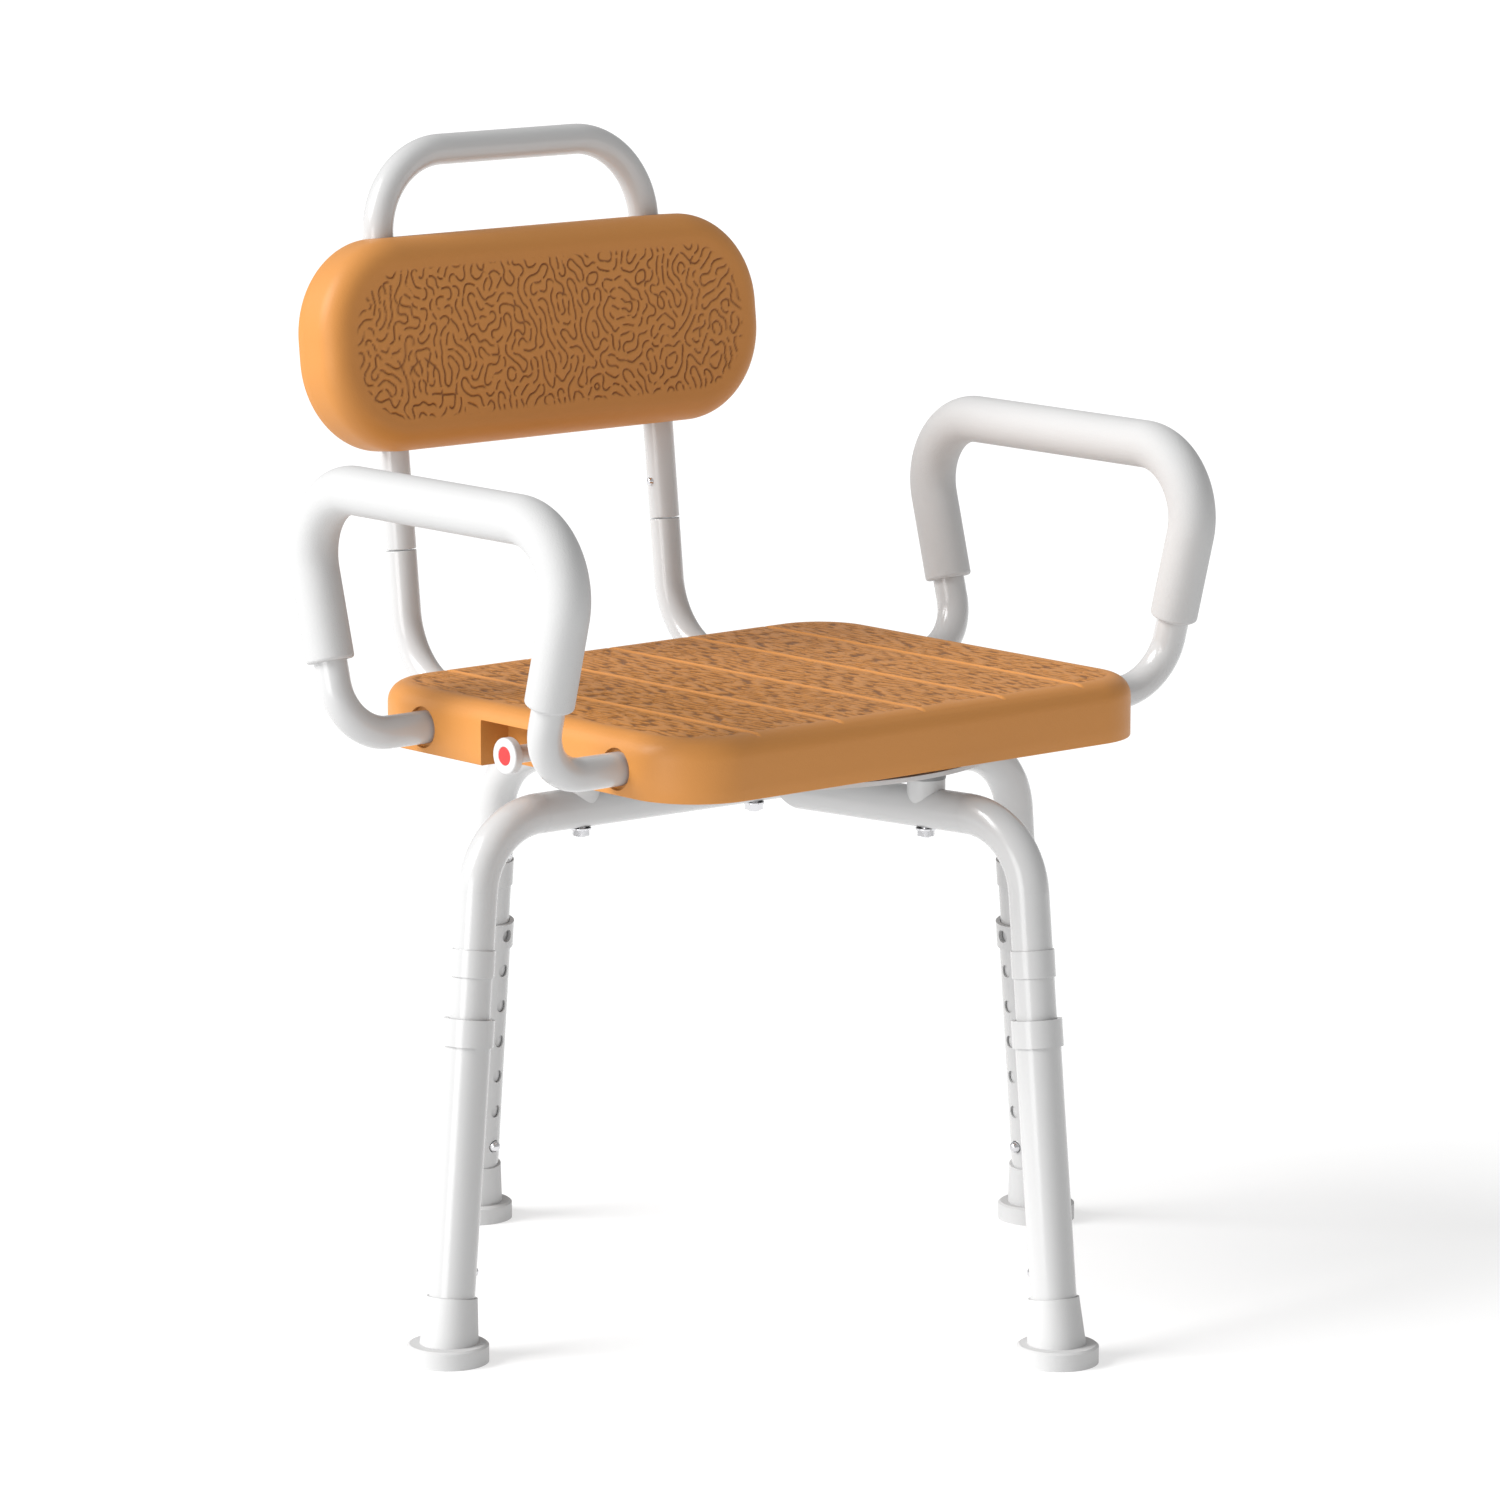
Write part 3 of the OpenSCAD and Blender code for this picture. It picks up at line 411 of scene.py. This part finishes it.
seatShape = {
    "corner": 0.047, "edge": 0.013, "cell": 0.0013, "row": 0.0015, "rings": 9,
    "groovePitch": 0.067, "grooveHalf": 0.0020, "grooveDepth": 0.0016, "grooves": 5,
    "border": 0.014, "grainDepth": 0.0010, "grainWave": 0.0042, "grainStretch": 5.0, "speckWave": 0.0040,
    "socketRing": 0.0131, "postRing": 0.0124, "ringDepth": 0.0032, "grainSeed": 11, "core": 0.146,
    "skin": 0.0022, "recessDeep": 0.022, "recessHalf": 0.030, "recessHigh": 0.0289,
}


def columnsWith(core, cell, centres, offsets):
    # even columns, with closer ones where a groove needs them
    plain = np.linspace(-core, core, int(2 * core / cell) + 1)
    reach = max(offsets) + cell * 0.5
    for c in centres:
        plain = plain[np.abs(plain - c) > reach]
    extra = [c + s * o for c in centres for o in offsets for s in ((1,) if o == 0 else (-1, 1))]
    return np.sort(np.concatenate([plain, extra]))


def makeSeat():
    s = seatShape
    low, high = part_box("seat_shell")
    middle = (low + high) / 2
    hx, hy = (high.x - low.x) / 2, (high.y - low.y) / 2
    cell = (s["cell"] * 0.6, s["cell"] * 0.6)
    shape = (int(2 * hy / cell[1]) + 8, int(2 * hx / cell[0]) + 8)
    streak = wormField(shape, cell, s["grainWave"], s["grainStretch"], 3, s["grainSeed"], 0.45)
    broad = wormField(shape, cell, s["grainWave"] * 6, 1.5, 3, s["grainSeed"] + 1)
    speck = wormField(shape, cell, s["speckWave"], 1.5, 2, s["grainSeed"] + 2, 0.3)
    pits = np.maximum(0.75 * softStep(0.05, 0.85, streak + 0.2 * broad), softStep(1.6, 2.1, speck))
    centres = [(i - s["grooves"] // 2) * s["groovePitch"] for i in range(s["grooves"])]

    def relief(x, y):
        inside = insideDistance(x, y, hx, hy, s["corner"])
        grain = sample(pits, cell, x, y) * softStep(s["border"], s["border"] + 0.004, inside)
        slot = np.zeros_like(x)
        for c in centres:
            away = np.abs(x - c)
            slot = np.maximum(slot, 1 - softStep(s["grooveHalf"] * 0.55, s["grooveHalf"] * 1.15, away))
            grain = grain * softStep(s["grooveHalf"] * 1.3, s["grooveHalf"] * 2.2, away)
        return np.maximum(grain * s["grainDepth"], slot * s["grooveDepth"])

    form = {"hx": hx, "hy": hy, "corner": s["corner"], "edge": s["edge"], "top": high.z,
        "bottom": low.z, "row": s["row"], "side": 34, "rings": s["rings"], "deepest": s["grooveDepth"]}
    half = s["grooveHalf"]
    columns = columnsWith(s["core"], s["cell"], centres,
        (0, half * 0.5, half * 0.85, half * 1.2, half * 1.7))
    seat = slabSolid("seatMoulding", form, columns, relief, Matrix.Translation((middle.x, middle.y, 0)))
    # painted shade mask: the pits darken up to full by their depth, the grooves get none
    mark = seat.data.attributes["hollow"]
    values = np.zeros(len(seat.data.vertices), np.float32)
    mark.data.foreach_get("value", values)
    place = np.zeros(len(values) * 3, np.float32)
    seat.data.vertices.foreach_get("co", place)
    across = place.reshape(-1, 3)[:, 0] - middle.x
    inGroove = np.min([np.abs(across - c) for c in centres], axis=0) < half * 1.8
    values = np.where(inGroove, 0, np.clip(values * s["grooveDepth"] / s["grainDepth"], 0, 1))
    mark.data.foreach_set("value", values.astype(np.float32))
    # the hollow underside, its ribs and its sockets come from the frame's own moulding
    inner = 0.001
    plain = {"hx": hx - inner, "hy": hy - inner, "corner": s["corner"] - inner, "edge": 0.004,
        "top": high.z - s["skin"], "bottom": low.z - 0.004,
        "row": 0.006, "side": 6, "rings": 4, "deepest": 1}
    negative = slabSolid("seatHollow", plain, np.linspace(-0.14, 0.14, 20), lambda x, y: x * 0,
        Matrix.Translation((middle.x, middle.y, 0)))
    carve(negative, mergedCopy("seat_shell", "seatCopy"))
    carve(seat, negative)
    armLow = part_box("arm_tube_left")[0]
    postLow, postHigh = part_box("back_post_left")
    socketZ = armLow.z + armShape["tube"]
    for side in (-1, 1):
        for end in (-1, 1):
            y = middle.y + end * armShape["spacing"]
            wall = middle.x + side * hx
            carve(seat, rodAt("ringTool", (wall + side * 0.004, y, socketZ),
                (wall - side * s["ringDepth"], y, socketZ), s["socketRing"]))
        x = side * (postLow.x + postHigh.x) / 2
        carve(seat, rodAt("ringTool", (x, high.y + 0.004, socketZ),
            (x, high.y - s["ringDepth"], socketZ), s["postRing"]))
    knobLow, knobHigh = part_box("plunger_knob")
    knobY = (knobLow.y + knobHigh.y) / 2
    past = 0.005
    carve(seat, blockAt("recessTool", (low.x - past, knobY - s["recessHalf"], low.z - past),
        (low.x + s["recessDeep"], knobY + s["recessHalf"], low.z + s["recessHigh"])))
    smoothed(seat, 48)
    return dress(seat, "seat_plastic", "seat", "seat_shell")


def sweepTree():
    tree = bpy.data.node_groups.new("sweepAlongPath", "GeometryNodeTree")
    face = tree.interface
    face.new_socket("Geometry", in_out="INPUT", socket_type="NodeSocketGeometry")
    for label, kind, value in (("Radius", "NodeSocketFloat", 0.0105), ("Sides", "NodeSocketInt", 48)):
        face.new_socket(label, in_out="INPUT", socket_type=kind).default_value = value
    face.new_socket("Finish", in_out="INPUT", socket_type="NodeSocketMaterial")
    face.new_socket("Geometry", in_out="OUTPUT", socket_type="NodeSocketGeometry")
    gin, gout = tree.nodes.new("NodeGroupInput"), tree.nodes.new("NodeGroupOutput")
    path = tree.nodes.new("GeometryNodeMeshToCurve")
    ring = tree.nodes.new("GeometryNodeCurvePrimitiveCircle")
    girth = tree.nodes.new("GeometryNodeInputNamedAttribute")
    girth.data_type = "FLOAT"
    girth.inputs["Name"].default_value = "girth"
    skin = tree.nodes.new("GeometryNodeCurveToMesh")
    skin.inputs["Fill Caps"].default_value = True
    real, paint = tree.nodes.new("GeometryNodeRealizeInstances"), tree.nodes.new("GeometryNodeSetMaterial")
    link = tree.links.new
    link(gin.outputs["Geometry"], path.inputs["Mesh"])
    link(gin.outputs["Radius"], ring.inputs["Radius"])
    link(gin.outputs["Sides"], ring.inputs["Resolution"])
    link(path.outputs["Curve"], skin.inputs["Curve"])
    link(ring.outputs["Curve"], skin.inputs["Profile Curve"])
    link(girth.outputs["Attribute"], skin.inputs["Scale"])
    link(skin.outputs["Mesh"], real.inputs["Geometry"])
    link(real.outputs["Geometry"], paint.inputs["Geometry"])
    link(gin.outputs["Finish"], paint.inputs["Material"])
    link(paint.outputs["Geometry"], gout.inputs["Geometry"])
    return tree


sweepAlongPath = sweepTree()


def bentPath(points, bends, step=math.radians(2.5)):
    # straight runs joined by round bends; one bend radius for each inner point
    points = [Vector(p) for p in points]
    out = [points[0]]
    for i, radius in enumerate(bends, 1):
        before, here, after = points[i - 1], points[i], points[i + 1]
        a, b = (before - here).normalized(), (after - here).normalized()
        turn = math.pi - a.angle(b)
        cut = radius * math.tan(turn / 2)
        centre = here + (a + b).normalized() * (radius / math.cos(turn / 2))
        first, last = here + a * cut - centre, here + b * cut - centre
        count = max(int(turn / step), 4)
        for k in range(count + 1):
            t = k / count
            blend = first * math.sin((1 - t) * turn) + last * math.sin(t * turn)
            out.append(centre + blend / math.sin(turn))
    return out + [points[-1]]


def runLengths(path):
    return np.concatenate([[0], np.cumsum([(b - a).length for a, b in zip(path[:-1], path[1:])])])


def pointAt(path, lengths, s):
    i = min(max(int(np.searchsorted(lengths, s)) - 1, 0), len(path) - 2)
    t = (s - lengths[i]) / (lengths[i + 1] - lengths[i])
    return path[i].lerp(path[i + 1], t)


def sweep(name, path, radius, slotName, startRound=0.0008, endRound=0.0008, inner=0.0, sides=48):
    # a bar along the path; each end is rounded over and drawn in to the inner radius
    lengths = runLengths(path)
    total = lengths[-1]
    marks = {}
    for base, sign, amount in ((0, 1, startRound), (total, -1, endRound)):
        marks[base] = max(inner, radius * 0.2) / radius
        for k in range(7):
            a = k / 6 * math.pi / 2
            spot = base + sign * (0.00002 + amount * (1 - math.cos(a)))
            marks[spot] = 1 - amount / radius * (1 - math.sin(a))
    for s in lengths:
        if startRound * 1.2 < s < total - endRound * 1.2:
            marks[float(s)] = 1.0
    stops = sorted(marks)
    mesh = bpy.data.meshes.new(name)
    links = [(i, i + 1) for i in range(len(stops) - 1)]
    mesh.from_pydata([pointAt(path, lengths, s) for s in stops], links, [])
    girth = mesh.attributes.new("girth", "FLOAT", "POINT")
    girth.data.foreach_set("value", [marks[s] for s in stops])
    obj = addObject(name, mesh)
    mod = obj.modifiers.new("sweep", "NODES")
    mod.node_group = sweepAlongPath
    values = {"Radius": radius, "Sides": sides, "Finish": finishes[slotName]}
    for item in sweepAlongPath.interface.items_tree:
        if item.in_out == "INPUT" and item.name in values:
            mod[item.identifier] = values[item.name]
    settle(obj)
    work = bmesh.new()
    work.from_mesh(obj.data)
    bmesh.ops.recalc_face_normals(work, faces=work.faces)
    work.to_mesh(obj.data)
    work.free()
    return smoothed(obj, 50)


armShape = {
    "tube": 0.0105, "spacing": 0.0955, "slope": 15.0, "lowBend": 0.035, "topBend": 0.044,
    "inside": 0.130, "gripStart": 0.0487, "gripRound": 0.0022,
}


def makeArms():
    a = armShape
    for side, name in ((1, "left"), (-1, "right")):
        gripLow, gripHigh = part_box("arm_grip_" + name)
        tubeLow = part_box("arm_tube_" + name)[0]
        gripR = (gripHigh.x - gripLow.x) / 2
        x, y = (gripLow.x + gripHigh.x) / 2, (gripLow.y + gripHigh.y) / 2
        top, socket = gripHigh.z - gripR, tubeLow.z + a["tube"]
        slope = math.radians(a["slope"])
        lift = (top - socket) * math.tan(slope)
        low = [Vector((x, y + e * a["spacing"], socket)) for e in (-1, 1)]
        high = [Vector((x, y + e * (a["spacing"] + lift), top)) for e in (-1, 1)]
        inside = [Vector((side * a["inside"], p.y, socket)) for p in low]
        tube = bentPath([inside[0], low[0], high[0], high[1], low[1], inside[1]],
            [a["lowBend"], a["topBend"], a["topBend"], a["lowBend"]])
        dress(sweep("armTube_" + name, tube, a["tube"], "white_tube"),
            "white_tube", "seat", "arm_tube_" + name)
        start = [p + (q - p).normalized() * a["gripStart"] for p, q in zip(low, high)]
        sleeve = bentPath([start[0], high[0], high[1], start[1]], [a["topBend"], a["topBend"]])
        grip = sweep("armGrip_" + name, sleeve, gripR, "grip_foam", a["gripRound"], a["gripRound"],
            a["tube"] + 0.0001, 56)
        dress(grip, "grip_foam", "seat", "arm_grip_" + name)


backShape = {
    "tube": 0.010, "lean": 6.1, "postBend": 0.055, "hoopBend": 0.055, "hoopLength": 0.2554,
    "jointZ": 0.466, "seam": 0.0004, "corner": 0.062, "edge": 0.016, "deep": 0.036, "padUp": 0.133,
    "padHigh": 0.137, "padCore": 0.114, "postX": 0.111, "channel": (0.02, 0.25), "endRound": 0.0006,
    "border": 0.0195, "lineDepth": 0.0009, "lineWave": 0.0098, "lineSeed": 5, "lineStretch": 1.25,
    "lineSpread": 0.42, "lineHalf": 0.00062, "lineBreak": 1.0, "cell": 0.00078, "row": 0.00080,
}


def backPlace():
    # frame of the leaning back, at the joint between the posts and the hoop
    b = backShape
    lean = math.radians(b["lean"])
    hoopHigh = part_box("back_hoop")[1]
    jointY = hoopHigh.y - b["tube"] - b["hoopLength"] * math.sin(lean)
    return Matrix.Translation((0, jointY, b["jointZ"])) @ Matrix.Rotation(-lean, 4, "X")


def makeBackTubes():
    b = backShape
    place = backPlace()
    lean = math.radians(b["lean"])
    for name in ("left", "right"):
        low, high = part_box("back_post_" + name)
        x, socket = (low.x + high.x) / 2, low.z + b["tube"]
        joint = place @ Vector((x, 0, 0))
        corner = Vector((x, joint.y - (joint.z - socket) * math.tan(lean), socket))
        start = Vector((x, low.y, socket))
        post = bentPath([start, corner, joint - (joint - corner).normalized() * b["seam"]], [b["postBend"]])
        dress(sweep("backPost_" + name, post, b["tube"], "white_tube", endRound=b["endRound"]),
            "white_tube", "seat", "back_post_" + name)
    hoopLow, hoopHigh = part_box("back_hoop")
    x = (hoopHigh.x - hoopLow.x) / 2 - b["tube"]
    top, foot = b["hoopLength"], b["seam"]
    run = [place @ Vector(p) for p in ((-x, 0, foot), (-x, 0, top), (x, 0, top), (x, 0, foot))]
    hoop = bentPath(run, [b["hoopBend"]] * 2)
    dress(sweep("backHoop", hoop, b["tube"], "white_tube", b["endRound"], b["endRound"]),
        "white_tube", "seat", "back_hoop")


def makePad():
    b = backShape
    low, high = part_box("back_pad")
    hx, hy = (high.x - low.x) / 2, b["padHigh"] / 2
    cell = (0.0006, 0.0006)
    shape = (int(2 * hy / cell[1]) + 8, int(2 * hx / cell[0]) + 8)
    winding = wormField(shape, cell, b["lineWave"], b["lineStretch"], 4, b["lineSeed"], b["lineSpread"])
    broken = wormField(shape, cell, b["lineWave"] * 0.8, 1.0, 2, b["lineSeed"] + 1, 0.3)
    climb = np.hypot(*np.gradient(winding, cell[1], cell[0]))
    away = np.abs(winding) / np.maximum(climb, climb.mean() * 0.35)
    lines = 1 - softStep(b["lineHalf"] * 0.5, b["lineHalf"] * 1.5, away)
    lines *= 1 - softStep(b["lineBreak"], b["lineBreak"] + 0.3, broken)

    def relief(x, y):
        inside = insideDistance(x, y, hx, hy, b["corner"])
        faded = sample(lines, cell, x, y) * softStep(b["border"], b["border"] + 0.003, inside)
        return faded * b["lineDepth"]

    form = {"hx": hx, "hy": hy, "corner": b["corner"], "edge": b["edge"], "top": b["deep"], "bottom": 0.0,
        "row": b["row"], "side": 40, "rings": 12, "deepest": b["lineDepth"]}
    place = backPlace() @ Matrix.Translation((0, 0, b["padUp"])) @ Matrix.Rotation(math.pi / 2, 4, "X")
    columns = np.linspace(-b["padCore"], b["padCore"], int(2 * b["padCore"] / b["cell"]))
    # the line hollows carry the depth mark that the pad's painted shade is drawn from
    pad = slabSolid("backPadShell", form, columns, relief, place)
    for x in (-b["postX"], b["postX"]):
        ends = [backPlace() @ Vector((x, 0, z)) for z in b["channel"]]
        carve(pad, rodAt("channelTool", ends[0], ends[1], b["tube"] + 0.0001))
    smoothed(pad, 50)
    return dress(pad, "pad_plastic", "seat", "back_pad")


# widths of the broken edges of the small parts
easedEdges = {
    "foot": 0.0011, "lock_collar": 0.0004, "joint_rings": 0.0004, "saddle_spacers": 0.0006,
    "spacer_caps": 0.0005, "plunger_knob": 0.0009, "knob_cap": 0.0005, "back_cover": 0.0006,
    "lock_nuts": 0.0003, "turntable_plate": 0.0004,
}


def easeEdges(node, name, body, width, angle=32):
    obj = mergedCopy(node, name)
    work = bmesh.new()
    work.from_mesh(obj.data)
    bmesh.ops.dissolve_limit(work, angle_limit=math.radians(0.6), verts=work.verts, edges=work.edges)
    work.to_mesh(obj.data)
    work.free()
    mod = obj.modifiers.new("eased", "BEVEL")
    mod.width, mod.segments, mod.limit_method, mod.angle_limit = width, 3, "ANGLE", math.radians(angle)
    mod.use_clamp_overlap = True
    smoothed(settle(obj), 40)
    # broad flat faces keep their own normal beside the narrow eased edges
    obj.modifiers.new("broadFaces", "WEIGHTED_NORMAL").keep_sharp = True
    settle(obj)
    return dress(obj, slotOf[node], body, node)


def makeSmallParts():
    e = easedEdges
    for c in corners:
        easeEdges("foot_" + c, "footBoot_" + c, "leg_" + c, e["foot"])
        easeEdges("lock_collar_" + c, "collarRing_" + c, "leg_" + c, e["lock_collar"])
    for node, name, body in (
            ("joint_rings", "tubeJointRings", "base"), ("saddle_spacers", "tubeSaddles", "base"),
            ("spacer_caps", "saddleCaps", "base"), ("plunger_knob", "knobDisc", "plunger"),
            ("knob_cap", "knobCentre", "plunger"), ("lock_nuts", "hexNuts", "base"),
            ("back_cover", "backCoverShell", "seat"), ("turntable_plate", "seatMountPlate", "base")):
        easeEdges(node, name, body, e[node])


studio = {
    "floorTone": 0.50, "floorGlow": 0.54, "sky": 0.47, "keyStrength": 3.75, "keySpread": 34.0,
    "keyFrom": (-0.75, 0.33, 0.57), "fillPower": 26.0, "fillSize": 1.6,
    "fillFrom": (-3.0, -0.5, 0.5), "aim": (0.0, 0.0, 0.40),
    "eye": (-2.798, -3.267, 1.131), "ahead": (0.6396, 0.7477, -0.1783), "lens": 164.9,
}


def makeStudio():
    s = studio
    floor = addMesh("studioFloor", [(-40, -40, 0), (40, -40, 0), (40, 40, 0), (-40, 40, 0)], [[0, 1, 2, 3]])
    paint = bpy.data.materials.new("paleFloor")
    paint.use_nodes = True
    shader = paint.node_tree.nodes["Principled BSDF"]
    shader.inputs["Base Color"].default_value = (s["floorTone"],) * 3 + (1,)
    shader.inputs["Roughness"].default_value = 0.9
    shader.inputs["Specular IOR Level"].default_value = 0.1
    shader.inputs["Emission Color"].default_value = (1, 1, 1, 1)
    shader.inputs["Emission Strength"].default_value = s["floorGlow"]
    floor.data.materials.append(paint)
    world = bpy.data.worlds.new("softSky")
    bpy.context.scene.world = world
    world.use_nodes = True
    world.node_tree.nodes["Background"].inputs["Color"].default_value = (1, 1, 1, 1)
    world.node_tree.nodes["Background"].inputs["Strength"].default_value = s["sky"]
    key = bpy.data.lights.new("keyLight", "SUN")
    key.energy, key.angle = s["keyStrength"], math.radians(s["keySpread"])
    fill = bpy.data.lights.new("fillLight", "AREA")
    fill.energy, fill.shape, fill.size = s["fillPower"], "DISK", s["fillSize"]
    for lamp, place, aim in ((key, s["keyFrom"], (0, 0, 0)), (fill, s["fillFrom"], s["aim"])):
        obj = bpy.data.objects.new(lamp.name, lamp)
        bpy.context.scene.collection.objects.link(obj)
        way = Vector(aim) - Vector(place)
        obj.matrix_world = Matrix.Translation(place) @ way.to_track_quat("-Z", "Y").to_matrix().to_4x4()
    lens = bpy.data.cameras.new("studioCamera")
    lens.lens, lens.sensor_width, lens.clip_end = s["lens"], 36.0, 100.0
    eye = bpy.data.objects.new("studioCamera", lens)
    bpy.context.scene.collection.objects.link(eye)
    turn = Vector(s["ahead"]).to_track_quat("-Z", "Y").to_matrix().to_4x4()
    eye.matrix_world = Matrix.Translation(s["eye"]) @ turn
    bpy.context.scene.camera = eye
    bpy.context.scene.view_settings.view_transform = "Standard"


makeArms()
print("arms and grips made")
makeBackTubes()
makePad()
print("back made")
makeSeat()
print("seat made")
makeSmallParts()
print("small parts made")
makeStudio()
